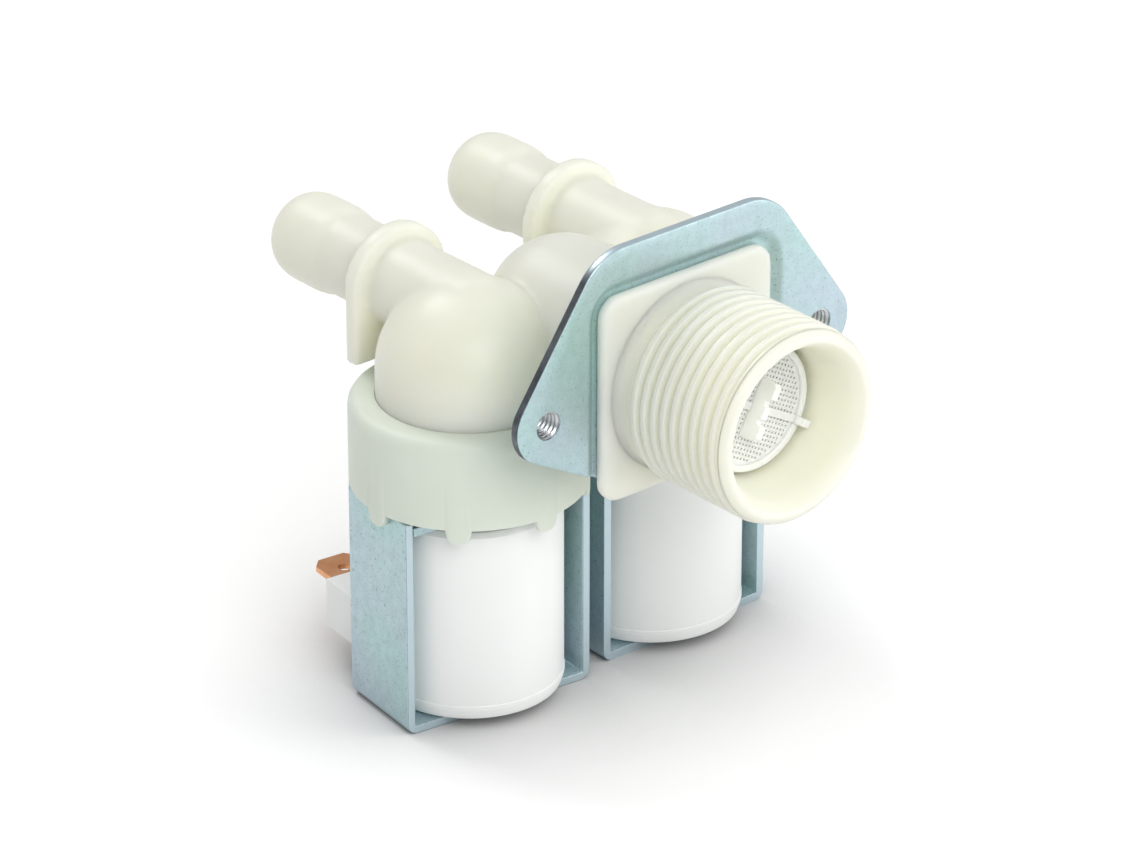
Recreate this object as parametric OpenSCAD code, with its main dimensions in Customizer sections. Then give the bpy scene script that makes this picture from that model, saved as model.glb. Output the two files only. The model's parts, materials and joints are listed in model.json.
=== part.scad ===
// Twin inlet valve for a washing machine, two solenoids hanging under one moulded body.
// Millimetres, +Z up. The origin is the middle of the two screw holes on the front of the
// mounting plate. The hose thread points to -Y, the two outlet tails point to +Y.

/* [Layout] */
// Coil axes behind the front of the plate
valve_y = 24.4; // [23:0.1:27]
// Gap between the two retaining rings
ring_gap = 0.2; // [0.1:0.1:2]
// How far each outlet tail stands inside its coil axis
tail_shift = 0.7; // [0:0.1:2]
// Turn of the left coil and its yoke about the coil axis, in degrees
turn_left = -7; // [-10:0.5:2]
// Turn of the right coil and its yoke about the coil axis, in degrees
turn_right = -0.5; // [-2:0.5:10]

/* [Inlet thread] */
// Outer radius of the hose thread (G 3/4)
thread_r = 13.22; // [12:0.01:15]
// Distance between two crests of the thread
thread_pitch = 1.814; // [1.4:0.001:2.4]
// Depth of the thread
thread_depth = 0.85; // [0.4:0.05:1.1]
// Front of the plate to the first crest
thread_start = 3.1; // [2.4:0.1:4]
// Plain length between the last crest and the end
lead_in = 1.7; // [1.4:0.1:5]
// Front of the plate to the end of the inlet
inlet_reach = 21.2; // [18:0.1:26]
// Wall of the inlet under the crests
inlet_wall = 3.85; // [3:0.05:4]
// Chamfer at the end of the inlet
inlet_chamfer = 1.3; // [0.4:0.1:1.6]
// Mouth of the inlet to the disc of the filter
filter_depth = 8.4; // [6:0.1:9]

/* [Body] */
// Width of the square flange beyond the thread, on each side
flange_rim = 1.16; // [0.8:0.01:2.5]
// Thickness of the square flange
flange_t = 1.7; // [1.5:0.1:2.2]
// Corner radius of the square flange
flange_corner_r = 3.2; // [1:0.1:6]
// Outer radius of the two domes
dome_r = 12.1; // [11:0.1:13.5]
// Height of the centre of each dome
dome_z = -2.9; // [-4:0.1:-1]
// Wall of the dome skirt
dome_wall = 1.9; // [1.4:0.1:2.4]
// Height of the diaphragm seat
seat_z = -11.1; // [-13:0.1:-10.6]
// Middle of the round end of the barrel, in front of the coil axes
barrel_short = 0.7; // [-2:0.1:3]

/* [Outlet tails] */
// Height of the outlet tails
tail_z = 3.9; // [3.2:0.1:4.6]
// Radius of each tail between its dome and its collar
tube_r = 5.9; // [5.2:0.1:6.4]
// Radius of the hose neck
tail_r = 5.6; // [5:0.05:5.8]
// Radius of the bulb at the end of the tail
bulb_r = 6.15; // [6:0.05:7]
// Bore of the outlet tail
tail_bore_r = 3.4; // [2.4:0.1:3.8]
// Radius of the collar behind the hose neck
collar_r = 7.8; // [6.6:0.1:9]
// Coil axes to the front of the collar
collar_offset = 14.4; // [13:0.1:19]
// Thickness of the collar and its leg
collar_t = 2.3; // [1.6:0.1:4]
// Length of the hose neck
neck_length = 8.6; // [4:0.1:12]
// Length of the bulb
bulb_length = 11.2; // [9:0.1:15]

/* [Mounting plate] */
// Distance between the two screw holes
screw_pitch = 46.2; // [44:0.1:54]
// Radius of the thread core in the screw holes
screw_r = 1.95; // [1.5:0.05:2.2]
// Outer radius of the drawn necks around the screw holes
screw_neck_r = 2.9; // [2.6:0.1:3.4]
// Depth of the drawn necks from the front of the plate
screw_depth = 3.4; // [2.4:0.1:5]
// Sheet thickness of the plate
plate_t = 1.3; // [1:0.1:1.6]
// Radius of the two ears
ear_r = 5.1; // [4.4:0.1:6]
// Height of the plate above the flange
plate_rim = 6.45; // [5:0.05:9]
// Radius of the two upper corners
plate_corner_r = 8.4; // [6:0.1:10]
// Length of the straight top edge
top_edge = 20.6; // [16:0.1:26]
// Lower edge of the plate below the screw holes
plate_drop = 11.9; // [10:0.1:13]
// Depth of the square dish around the flange
dish_depth = 1.3; // [1:0.1:1.6]
// Width of the sloped wall of the dish
dish_slope = 1.35; // [0.8:0.05:2]

/* [Retaining rings] */
// Wall of the rings around the domes
ring_wall = 3.6; // [3:0.1:4.5]
// Height of the rings
ring_height = 12.3; // [9:0.1:13]
// Number of lugs under each ring
lug_count = 8; // [4:1:12]
// Width of one lug
lug_w = 3.3; // [2.5:0.1:4.5]
// Height of one lug
lug_h = 1.9; // [1.2:0.1:2.1]

/* [Coils and yokes] */
// Gap between the coil and the walls of its yoke
yoke_gap = 0.75; // [0.3:0.05:1.2]
// Underside of the ring to the underside of the yoke
yoke_height = 31; // [27:0.1:38]
// Strap of the yoke left beside the bore of the coil, both sides together
yoke_land = 1.1342; // [0.8:0.0001:4]
// Sheet thickness of the yoke
yoke_t = 1.2; // [1:0.1:1.5]
// Share of the coil radius that its bore takes
bore_share = 0.523; // [0.48:0.001:0.56]
// Wall of the steel bushes in the bore
bush_wall = 1.3; // [1:0.05:1.5]
// Length of the steel bushes
bush_length = 11.6; // [8:0.1:13]
// Back of the terminal block behind the coil
block_reach = 4.9; // [4:0.1:7]

/* [Terminals] */
// Width of the spade terminals
spade_w = 6.3; // [4.8:0.1:6.3]
// Thickness of the spade terminals
spade_t = 0.8; // [0.5:0.1:1]
// Free length of the spade terminals
spade_length = 7.4; // [6:0.1:10]
// Distance between the two spades of one coil
spade_pitch = 13; // [11:0.5:14]
// Height of the spades above the underside of the yoke
spade_rise = 10; // [8:0.1:15]

/* [Moving parts] */
// Travel of the plunger
plunger_travel = 2.4; // [1.6:0.1:4]
// Travel of the diaphragm insert
insert_travel = 1.5; // [1:0.1:2]
// Wall of the guide tube
tube_wall = 0.6; // [0.5:0.05:0.8]
// Gap between the plunger and its guide tube
plunger_gap = 0.3; // [0.2:0.05:0.4]
// Depth of the spring pocket in the plunger
spring_pocket = 8.4; // [6:0.1:13]
// Turns of the plunger spring
spring_turns = 7; // [5:1:8]

/* [Hidden] */
$fn = 96;

// inlet, flange and barrel
inlet_bore_r = thread_r - inlet_wall;
root_r = thread_r - thread_depth;
crest_w = 0.42 * thread_pitch;
flank_w = 0.22 * thread_pitch;
thread_turns = floor((inlet_reach - lead_in - thread_start) / thread_pitch);
barrel_r = thread_r - 2.72;
core_r = barrel_r - 1.9;
step_h = 3.9;
cage_rim_t = 0.7;
neck_r = barrel_r - 0.9;
barrel_end = valve_y - barrel_short;
flange_side = 2 * (thread_r + flange_rim);

// mounting plate
flange_back = dish_depth;
plate_back = dish_depth + plate_t;
plate_top = flange_side / 2 + plate_rim;
slot_r = neck_r + 0.2;

// pressure chamber, from the seat down
web_t = 0.9;
bead_t = 1.8;
tube_flange_t = 1.8;
lip_t = 1.7;
insert_t = 1.5;
insert_bottom = seat_z - web_t - insert_t;
tube_flange_top = insert_bottom - insert_travel - 0.4;
skirt_z = tube_flange_top + bead_t;
chamber_r = dome_r - dome_wall;
chamber_top = dome_z + 0.3;
chamber_corner = 1.6;
seat_r = 0.423 * dome_r;
riser_r = seat_r - 1.5;
tube_flange_r = dome_r - 0.2;
window_r = 3.3;

// retaining rings
ring_bore_r = dome_r + 0.05;
ring_r = dome_r + ring_wall;
ring_bottom = tube_flange_top - tube_flange_t - lip_t;
ring_top = ring_bottom + ring_height;
lip_r = dome_r - 1.5;
half_pitch = ring_r + ring_gap / 2;
half_tail = half_pitch - tail_shift;
collar_y = valve_y + collar_offset;

// coils, yokes and plungers
coil_r = dome_r + 0.2;
yoke_w = 2 * (coil_r + yoke_gap + yoke_t);
yoke_bottom = ring_bottom - yoke_height;
top_plate_top = ring_bottom - 0.9;
top_plate_bottom = top_plate_top - yoke_t;
coil_top = top_plate_bottom - 0.1;
coil_bottom = yoke_bottom + yoke_t + 0.1;
coil_wall = 1.4;
coil_bore_r = bore_share * coil_r;
yoke_d = 2 * coil_bore_r + yoke_land;
bush_r = coil_bore_r - 0.1;
tube_outer_r = bush_r - bush_wall - 0.1;
tube_inner_r = tube_outer_r - tube_wall;
tube_end = yoke_bottom + 2.8;
tube_floor = tube_end + 1.2;
plunger_r = tube_inner_r - plunger_gap;
plunger_top = tube_flange_top - 0.2;
plunger_bottom = tube_floor + plunger_travel + 0.3;
spring_bore_r = plunger_r - 1.4;
spring_seat = plunger_bottom + spring_pocket;
pilot_z = insert_bottom - 0.5;
seal_top = pilot_z - 0.05;
spade_z = yoke_bottom + spade_rise;
spade_root = 4;
block_root = 4.6;
block_h = 7;
block_below = 5.2;
block_back = coil_r + block_reach;
block_half = coil_r - 0.6;

// Places its children on the coil axis of one side; side is -1 for left and 1 for right.
module on_axis(side) {
  turn = side < 0 ? turn_left : turn_right;
  translate([side * half_pitch, valve_y, 0])
    rotate([0, 0, turn])
      children();
}

// The same without the turn, for the parts moulded in line with the body.
module on_body(side) {
  translate([side * half_pitch, valve_y, 0])
    children();
}

// Cylinder along +Y that starts at y.
module along_y(y, length, r) {
  translate([0, y, 0])
    rotate([-90, 0, 0])
      cylinder(r = r, h = length);
}

// Square with rounded corners in the XZ plane, extruded along +Y from y.
module square_y(y, t, side, corner) {
  inner = side - 2 * corner;
  translate([-inner / 2, y, -side / 2])
    cube([inner, t, side]);
  translate([-side / 2, y, -inner / 2])
    cube([side, t, inner]);
  for (sx = [-1, 1]) {
    for (sz = [-1, 1]) {
      translate([sx * inner / 2, y, sz * inner / 2])
        rotate([-90, 0, 0])
          cylinder(r = corner, h = t);
    }
  }
}

// Four-sided frustum along +Y, half width a at y and b at y + t.
module frustum_y(y, t, a, b) {
  intersection() {
    translate([0, 0, -40])
      linear_extrude(80)
        polygon([[-a, y], [a, y], [b, y + t], [-b, y + t]]);
    translate([-40, 0, 0])
      rotate([90, 0, 90])
        linear_extrude(80)
          polygon([[y, -a], [y, a], [y + t, b], [y + t, -b]]);
  }
}

// One outlet tail: wide tube, collar with its leg, neck and bulb.
module tail_outside(side) {
  neck_y = collar_y + collar_t;
  bulb_y = neck_y + neck_length;
  end_y = bulb_y + bulb_length;
  nose_r = 3.2;
  nose_length = 0.38 * bulb_length;
  translate([side * half_tail, 0, tail_z]) {
    translate([0, valve_y, 0])
      sphere(r = tube_r);
    along_y(valve_y, collar_y - valve_y + 1, tube_r);
    along_y(collar_y, collar_t, collar_r);
    translate([-collar_r, collar_y, -tail_z + ring_top + 0.3])
      cube([2 * collar_r, collar_t, tail_z - ring_top - 0.3]);
    rotate([-90, 0, 0])
      rotate_extrude()
        polygon([
          [0, neck_y - 1], [tail_r, neck_y - 1], [tail_r, bulb_y],
          [bulb_r - 0.15, bulb_y + 0.9], [bulb_r, bulb_y + 2.2],
          for (a = [0 : 15 : 75])
            [bulb_r - nose_r * (1 - cos(a)), end_y - nose_length * (1 - sin(a))],
          [0, end_y]
        ]);
  }
}

module tail_inside(side) {
  end_y = collar_y + collar_t + neck_length + bulb_length;
  translate([side * half_tail, 0, tail_z])
    along_y(valve_y, end_y - valve_y + 1, tail_bore_r);
  translate([side * half_pitch, valve_y, seat_z - 1])
    cylinder(r = riser_r, h = tail_z - seat_z + 1);
}

// Dome of one valve: round top on a straight skirt.
module dome_outside(side) {
  on_body(side) {
    translate([0, 0, dome_z])
      sphere(r = dome_r);
    translate([0, 0, skirt_z])
      cylinder(r = dome_r, h = dome_z - skirt_z);
  }
}

// Ring chamber around the seat. Water reaches it from the barrel.
module chamber(side) {
  low = min(skirt_z, dome_z - dome_r) - 1;
  on_body(side)
    rotate_extrude()
      polygon([
        [seat_r, seat_z], [seat_r, chamber_top], [chamber_r - chamber_corner, chamber_top],
        [chamber_r, chamber_top - chamber_corner], [chamber_r, low], [0, low], [0, seat_z]
      ]);
}

// Outside of the inlet: neck in the plate, thread and plain lead-in. The crests are rings of the
// real pitch, because the turn of the helix is too flat to be seen from the side.
module inlet_outside() {
  rim = flank_w + crest_w;
  lead_r = thread_r - 0.27;
  rotate([90, 0, 0])
    rotate_extrude()
      polygon([
        [0, -plate_back - 0.5], [neck_r, -plate_back - 0.5], [neck_r, 0.4 - flange_back],
        [root_r, 0.4 - flange_back],
        for (k = [0 : thread_turns - 1])
          for (p = [[root_r, 0], [thread_r, flank_w], [thread_r, rim], [root_r, rim + flank_w]])
            [p[0], thread_start + k * thread_pitch + p[1]],
        [root_r, inlet_reach - lead_in], [lead_r, inlet_reach - lead_in + 0.3],
        [lead_r, inlet_reach - 0.6 * inlet_chamfer],
        [lead_r - inlet_chamfer, inlet_reach], [0, inlet_reach]
      ]);
}

// Water way of the inlet: chamfered mouth, bore of the filter, step for the cage, barrel.
module inlet_inside() {
  mouth_r = inlet_bore_r + 1.5;
  rotate([90, 0, 0])
    rotate_extrude()
      polygon([
        [0, inlet_reach + 1], [mouth_r, inlet_reach + 1], [mouth_r, inlet_reach],
        [inlet_bore_r + 0.3, inlet_reach - 0.7], [inlet_bore_r, inlet_reach - 1.2],
        [inlet_bore_r, step_h], [core_r, step_h],
        for (a = [0 : 15 : 75])
          [core_r * cos(a), -barrel_end - core_r * sin(a)],
        [0, -barrel_end - core_r]
      ]);
}

// One moulding: hose thread, flange, barrel, two domes and two outlet tails.
module valve_body() {
  color([0.91, 0.91, 0.83])
  difference() {
    union() {
      inlet_outside();
      square_y(flange_back - flange_t, flange_t, flange_side, flange_corner_r);
      along_y(plate_back + 0.05, 1.8, barrel_r + 1.6);
      along_y(plate_back + 0.05, barrel_end - plate_back - 0.05, barrel_r);
      translate([0, barrel_end, 0])
        sphere(r = barrel_r);
      for (side = [-1, 1]) {
        dome_outside(side);
        tail_outside(side);
      }
    }
    inlet_inside();
    for (side = [-1, 1]) {
      chamber(side);
      tail_inside(side);
      // window between the barrel and the ring chamber
      translate([side * 4, valve_y, (chamber_top + seat_z) / 2 + 0.75])
        rotate([0, side * 90, 0])
          cylinder(r = window_r, h = half_pitch - 4 - seat_r - 1.6);
    }
  }
}

// Outline of the plate seen from the front, x and z. Tangents join the corner circles.
function tangent(p, pr, q, qr, s) =
  let (dx = q[0] - p[0], dy = q[1] - p[1], d = sqrt(dx * dx + dy * dy))
  let (base = atan2(dy, dx), open = acos((pr - qr) / d))
  let (a = base + s * open)
  [[p[0] + pr * cos(a), p[1] + pr * sin(a)], [q[0] + qr * cos(a), q[1] + qr * sin(a)]];

module plate_outline() {
  // the straight sides run a hair inside the corner circles, so that they cross them cleanly
  hair = 0.02;
  ear = [screw_pitch / 2, 0];
  low_r = 1.7;
  top = [top_edge / 2, plate_top - plate_corner_r];
  low = [slot_r + 1.8, low_r - plate_drop];
  up = tangent(ear, ear_r - hair, top, plate_corner_r - hair, -1);
  down = tangent(ear, ear_r - hair, low, low_r - hair, 1);
  for (s = [-1, 1]) {
    translate([s * ear[0], ear[1]])
      circle(r = ear_r);
    translate([s * top[0], top[1]])
      circle(r = plate_corner_r);
    translate([s * low[0], low[1]])
      circle(r = low_r);
  }
  polygon([
    [-top[0], plate_top - hair], [top[0], plate_top - hair], up[1], up[0], ear, down[0], down[1],
    [low[0], low[1] - low_r + hair], [-low[0], low[1] - low_r + hair],
    [-down[1][0], down[1][1]], [-down[0][0], down[0][1]], [-ear[0], ear[1]],
    [-up[0][0], up[0][1]], [-up[1][0], up[1][1]]
  ]);
}

// Outline standing in the XZ plane, extruded from y to y + t.
module plate_sheet(y, t) {
  translate([0, y + t, 0])
    rotate([90, 0, 0])
      linear_extrude(t)
        plate_outline();
}

// Zinc plated sheet plate with a square dish, a slot open at the bottom and two drawn necks.
module mounting_plate() {
  inner_half = flange_side / 2 + 0.25;
  outer_half = inner_half + dish_slope;
  steep = dish_slope / dish_depth;
  color([0.69, 0.8, 0.83])
  difference() {
    union() {
      plate_sheet(0, plate_t);
      intersection() {
        plate_sheet(0, plate_back);
        frustum_y(plate_t - 0.4, dish_depth + 0.4, outer_half + 0.8 + 0.4 * steep, inner_half + 0.8);
      }
      for (s = [-1, 1]) {
        translate([s * screw_pitch / 2, 0, 0])
          along_y(plate_t - 0.2, screw_depth - plate_t + 0.2, screw_neck_r);
      }
    }
    frustum_y(-1, dish_depth + 1, outer_half + steep, inner_half);
    along_y(-1, plate_back + 2, slot_r);
    translate([-slot_r, -1, -2 * plate_drop])
      cube([2 * slot_r, plate_back + 2, 2 * plate_drop]);
    for (s = [-1, 1]) {
      translate([s * screw_pitch / 2, 0, 0]) {
        along_y(-1, screw_depth + 2, screw_r);
      }
    }
  }
}

// Filter that is pushed into the inlet: rim, cross, stepped grip and a mesh of square holes.
module inlet_filter() {
  mesh_pitch = 1.4;
  hole = 0.95;
  wall = 0.85;
  rim_h = 0.5;
  disc_r = inlet_bore_r - 0.6;
  skirt_r = inlet_bore_r - 0.05;
  y = inlet_reach - filter_depth;
  // the skirt ends above the rim of the cage
  skirt_length = y - step_h - cage_rim_t - 1.9;
  color([0.93, 0.94, 0.93])
  translate([0, -y, 0])
  difference() {
    union() {
      difference() {
        along_y(-rim_h, skirt_length + rim_h, skirt_r);
        along_y(-rim_h - 1, skirt_length + rim_h + 2, skirt_r - wall);
      }
      along_y(0, 0.7, disc_r);
      translate([-0.55, -0.5, -disc_r])
        cube([1.1, 0.8, 2 * disc_r]);
      translate([-disc_r, -0.5, -0.55])
        cube([2 * disc_r, 0.8, 1.1]);
      // grip for pliers, with two steps in its free edge
      translate([-0.6, -3.6, -3.9])
        cube([1.2, 3.8, 7.8]);
      translate([-0.6, -4.6, -1.3])
        cube([1.2, 4.8, 2.6]);
      translate([disc_r - 1.4, -2.2, -0.6])
        cube([1.3, 2.4, 1.2]);
    }
    for (i = [-6 : 5]) {
      for (k = [-6 : 5]) {
        x = (i + 0.5) * mesh_pitch + sign(i + 0.5) * 0.1;
        z = (k + 0.5) * mesh_pitch + sign(k + 0.5) * 0.1;
        if (norm([x, z]) < disc_r - 1.2) {
          translate([x - hole / 2, -0.2, z - hole / 2])
            cube([hole, 1.2, hole]);
        }
      }
    }
  }
}

// Rubber washer that sets the flow, behind the filter.
module flow_washer() {
  hole_r = 2.6;
  throat_r = 2.2;
  seat_y = 0.2;
  thickness = 2.8;
  washer_r = core_r - 1;
  color([0.13, 0.13, 0.13])
  rotate([90, 0, 0])
    rotate_extrude()
      polygon([
        [hole_r, seat_y], [throat_r, seat_y + thickness / 2], [hole_r, seat_y + thickness],
        [washer_r, seat_y + thickness], [washer_r, seat_y]
      ]);
}

// Cage that stands on the step of the bore and carries the washer.
module washer_cage() {
  hole_r = 4.6;
  shell_r = core_r - 0.05;
  inner_r = core_r - 0.95;
  vent_r = (hole_r + inner_r) / 2;
  color([0.93, 0.93, 0.9])
  difference() {
    union() {
      rotate([90, 0, 0])
        rotate_extrude()
          polygon([
            [hole_r, -1], [hole_r, 0.2], [inner_r, 0.2], [inner_r, step_h + cage_rim_t],
            [core_r + 0.7, step_h + cage_rim_t], [core_r + 0.7, step_h + 0.05], [shell_r, step_h + 0.05],
            [shell_r, -1]
          ]);
      translate([-hole_r - 0.2, -0.2, -0.5])
        cube([2 * hole_r + 0.4, 1.2, 1]);
      translate([-0.5, -0.2, -hole_r - 0.2])
        cube([1, 1.2, 2 * hole_r + 0.4]);
    }
    for (a = [45 : 90 : 315]) {
      rotate([0, a, 0])
        translate([0, 0, vent_r])
          along_y(-1, 3, 0.9);
    }
  }
}

// Room for the barrel, grown by the clearance.
module barrel_space(clearance) {
  along_y(0, barrel_end, barrel_r + clearance);
  translate([0, barrel_end, 0])
    sphere(r = barrel_r + clearance);
}

// Ring that clamps the guide tube under the dome, with lugs along its lower edge.
module retaining_ring(side) {
  color([0.84, 0.87, 0.81])
  difference() {
    ring_outside(side);
    barrel_space(0.3);
  }
}

module ring_outside(side) {
  on_body(side) {
    rotate_extrude()
      polygon([
        [ring_bore_r, ring_top], [ring_r - 1.6, ring_top], [ring_r - 0.45, ring_top - 0.5],
        [ring_r, ring_top - 1.7], [ring_r, ring_bottom], [lip_r, ring_bottom],
        [lip_r, ring_bottom + lip_t], [ring_bore_r, ring_bottom + lip_t]
      ]);
    for (i = [0 : lug_count - 1]) {
      rotate([0, 0, i * 360 / lug_count])
        intersection() {
          difference() {
            translate([0, 0, ring_bottom - lug_h])
              cylinder(r = ring_r, h = lug_h + 0.2);
            translate([0, 0, ring_bottom - lug_h - 1])
              cylinder(r = ring_r - 1.1, h = lug_h + 2);
          }
          union() {
            translate([ring_r - 3, -lug_w / 2, ring_bottom - lug_h + lug_w / 2])
              cube([6, lug_w, lug_h]);
            translate([ring_r - 3, 0, ring_bottom - lug_h + lug_w / 2])
              rotate([0, 90, 0])
                cylinder(r = lug_w / 2, h = 6);
          }
        }
    }
  }
}

// Closed tube that guides the plunger, with the flange that closes the pressure chamber.
module guide_tube(side) {
  color([0.9, 0.9, 0.87])
  on_axis(side)
    rotate_extrude()
      polygon([
        [tube_inner_r, tube_flange_top], [tube_flange_r, tube_flange_top],
        [tube_flange_r, tube_flange_top - tube_flange_t], [tube_outer_r, tube_flange_top - tube_flange_t],
        [tube_outer_r, tube_end], [0, tube_end], [0, tube_floor], [tube_inner_r, tube_floor]
      ]);
}

// Rubber diaphragm: clamped bead, rolling wall and a flat web that closes the seat.
module diaphragm(side) {
  web = seat_z - web_t;
  hinge_r = dome_r - 3.8;
  color([0.16, 0.16, 0.17])
  on_axis(side)
    difference() {
      rotate_extrude()
        polygon([
          [2.1, seat_z], [hinge_r - 0.4, seat_z], [hinge_r + 0.4, seat_z - 0.8],
          [hinge_r + 0.7, skirt_z - 0.6], [hinge_r + 1.4, skirt_z - 0.6],
          [hinge_r + 1.9, skirt_z], [tube_flange_r, skirt_z],
          [tube_flange_r, tube_flange_top], [hinge_r, tube_flange_top],
          [hinge_r - 0.3, web - 0.4], [hinge_r - 0.7, web], [2.1, web]
        ]);
      translate([bleed_r(), 0, web - 1])
        cylinder(r = 0.5, h = 3);
    }
}

// Radius on which the bleed hole stands, outside the seat.
function bleed_r() = seat_r + 0.9;

// Stiff insert in the middle of the diaphragm with the pilot bore.
module diaphragm_insert(side) {
  plate_r = seat_r + 1.9;
  top = seat_z - web_t - 0.05;
  color([0.86, 0.86, 0.84])
  on_axis(side)
    difference() {
      rotate_extrude()
        polygon([
          [0, pilot_z], [1.6, pilot_z], [2, insert_bottom], [plate_r, insert_bottom],
          [plate_r, top], [2, top], [2, seat_z + 0.05],
          [3.2, seat_z + 0.05], [2.4, seat_z + 1.4], [0, seat_z + 1.4]
        ]);
      translate([0, 0, pilot_z - 1])
        cylinder(r = 0.6, h = 6);
      translate([bleed_r(), 0, insert_bottom - 1])
        cylinder(r = 0.4, h = 4);
    }
}

// Steel plunger with a pocket for the seal and a bore for the spring.
module plunger(side) {
  color([0.7, 0.71, 0.72])
  on_axis(side)
    rotate_extrude()
      polygon([
        [0, plunger_top - 2.6], [1.95, plunger_top - 2.6], [1.95, plunger_top],
        [2.9, plunger_top], [plunger_r, plunger_top - 1.4], [plunger_r, plunger_bottom + 0.5],
        [plunger_r - 0.5, plunger_bottom], [spring_bore_r, plunger_bottom],
        [spring_bore_r, spring_seat], [0, spring_seat]
      ]);
}

// Rubber seal in the nose of the plunger, it closes the pilot bore.
module plunger_seal(side) {
  color([0.2, 0.2, 0.2])
  on_axis(side)
    translate([0, 0, plunger_top - 2.55])
      cylinder(r = 1.9, h = seal_top - plunger_top + 2.55);
}

// Spring between the plunger and the floor of the guide tube.
module plunger_spring(side) {
  low = tube_floor + 0.05;
  high = spring_seat - 0.05;
  wire_r = 0.35;
  color([0.75, 0.76, 0.78])
  on_axis(side)
    translate([0, 0, low])
      linear_extrude(height = high - low, twist = -360 * spring_turns, slices = 16 * spring_turns, $fn = 6)
        translate([spring_bore_r - wire_r - 0.2, 0])
          circle(r = wire_r, $fn = 6);
}

// Bent steel strap around the coil: two walls and a floor.
module yoke(side) {
  w = yoke_w;
  d = yoke_d;
  r = 1.6;
  color([0.69, 0.8, 0.83])
  on_axis(side)
    difference() {
      translate([0, d / 2, 0])
        rotate([90, 0, 0])
          linear_extrude(d)
            difference() {
              union() {
                translate([-w / 2, yoke_bottom + r])
                  square([w, ring_bottom - 0.15 - yoke_bottom - r]);
                translate([-w / 2 + r, yoke_bottom])
                  square([w - 2 * r, r + 0.1]);
                for (s = [-1, 1]) {
                  translate([s * (w / 2 - r), yoke_bottom + r])
                    circle(r = r);
                }
              }
              translate([-w / 2 + yoke_t, yoke_bottom + yoke_t])
                square([w - 2 * yoke_t, yoke_height]);
            }
      translate([0, 0, yoke_bottom - 1])
        cylinder(r = bush_r + 0.05, h = yoke_t + 2);
    }
}

// Steel plate that closes the yoke above the coil, staked between the walls.
module yoke_top(side) {
  inner = yoke_w - 2 * yoke_t - 0.1;
  color([0.69, 0.8, 0.83])
  on_axis(side)
    difference() {
      translate([-inner / 2, -yoke_d / 2, top_plate_bottom])
        cube([inner, yoke_d, yoke_t]);
      translate([0, 0, top_plate_bottom - 1])
        cylinder(r = bush_r + 0.05, h = yoke_t + 2);
    }
}

// Rolled steel sleeve between the guide tube and the bore of the coil.
module bush(side, low) {
  color([0.6, 0.62, 0.64])
  on_axis(side)
    translate([0, 0, low])
      difference() {
        cylinder(r = bush_r, h = bush_length);
        translate([0, 0, -1])
          cylinder(r = tube_outer_r + 0.1, h = bush_length + 2);
        translate([0, -0.2, -1])
          cube([bush_r + 1, 0.4, bush_length + 2]);
      }
}

// White moulding around the winding, with the terminal block at its back.
module coil(side) {
  color([0.94, 0.95, 0.95])
  on_axis(side)
    difference() {
      union() {
        rotate_extrude()
          polygon([
            [coil_bore_r, coil_bottom], [coil_r - 1.2, coil_bottom], [coil_r - 0.3, coil_bottom + 0.4],
            [coil_r, coil_bottom + 1.3], [coil_r, coil_top - 0.6], [coil_r - 0.6, coil_top],
            [coil_bore_r, coil_top]
          ]);
        difference() {
          translate([-block_half, coil_r - block_root, spade_z - block_below])
            cube([2 * block_half, block_reach + block_root, block_h]);
          translate([0, 0, spade_z - block_below - 1])
            cylinder(r = coil_r - block_root + 0.4, h = block_h + 2);
        }
      }
      rotate_extrude()
        polygon([
          [coil_bore_r + 1, coil_bottom + 1.7], [coil_r - coil_wall, coil_bottom + 1.7],
          [coil_r - coil_wall, coil_top - 1.7], [coil_bore_r + 1, coil_top - 1.7]
        ]);
      for (s = [-1, 1]) {
        translate([s * spade_pitch / 2 - spade_w / 2 - 0.05, block_back - spade_root - 0.05, spade_z - spade_t / 2 - 0.05])
          cube([spade_w + 0.1, spade_root + 1, spade_t + 0.1]);
      }
    }
}

// Copper winding inside the coil moulding.
module winding(side) {
  color([0.72, 0.42, 0.24])
  on_axis(side)
    rotate_extrude()
      polygon([
        [coil_bore_r + 1.05, coil_bottom + 1.75], [coil_r - coil_wall - 0.05, coil_bottom + 1.75],
        [coil_r - coil_wall - 0.05, coil_top - 1.75], [coil_bore_r + 1.05, coil_top - 1.75]
      ]);
}

// Flat spade terminal with a hole and two cut corners.
module spade(side, s) {
  half_w = spade_w / 2;
  tip = spade_root + spade_length;
  cut_x = 1.2;
  cut_y = 1.4;
  color([0.85, 0.6, 0.42])
  on_axis(side)
    translate([s * spade_pitch / 2, block_back - spade_root, spade_z - spade_t / 2])
      linear_extrude(spade_t)
        difference() {
          polygon([
            [-half_w, 0], [half_w, 0], [half_w, tip - cut_y], [half_w - cut_x, tip],
            [-half_w + cut_x, tip], [-half_w, tip - cut_y]
          ]);
          translate([0, tip - 3.6])
            circle(r = 0.9);
        }
}

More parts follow.
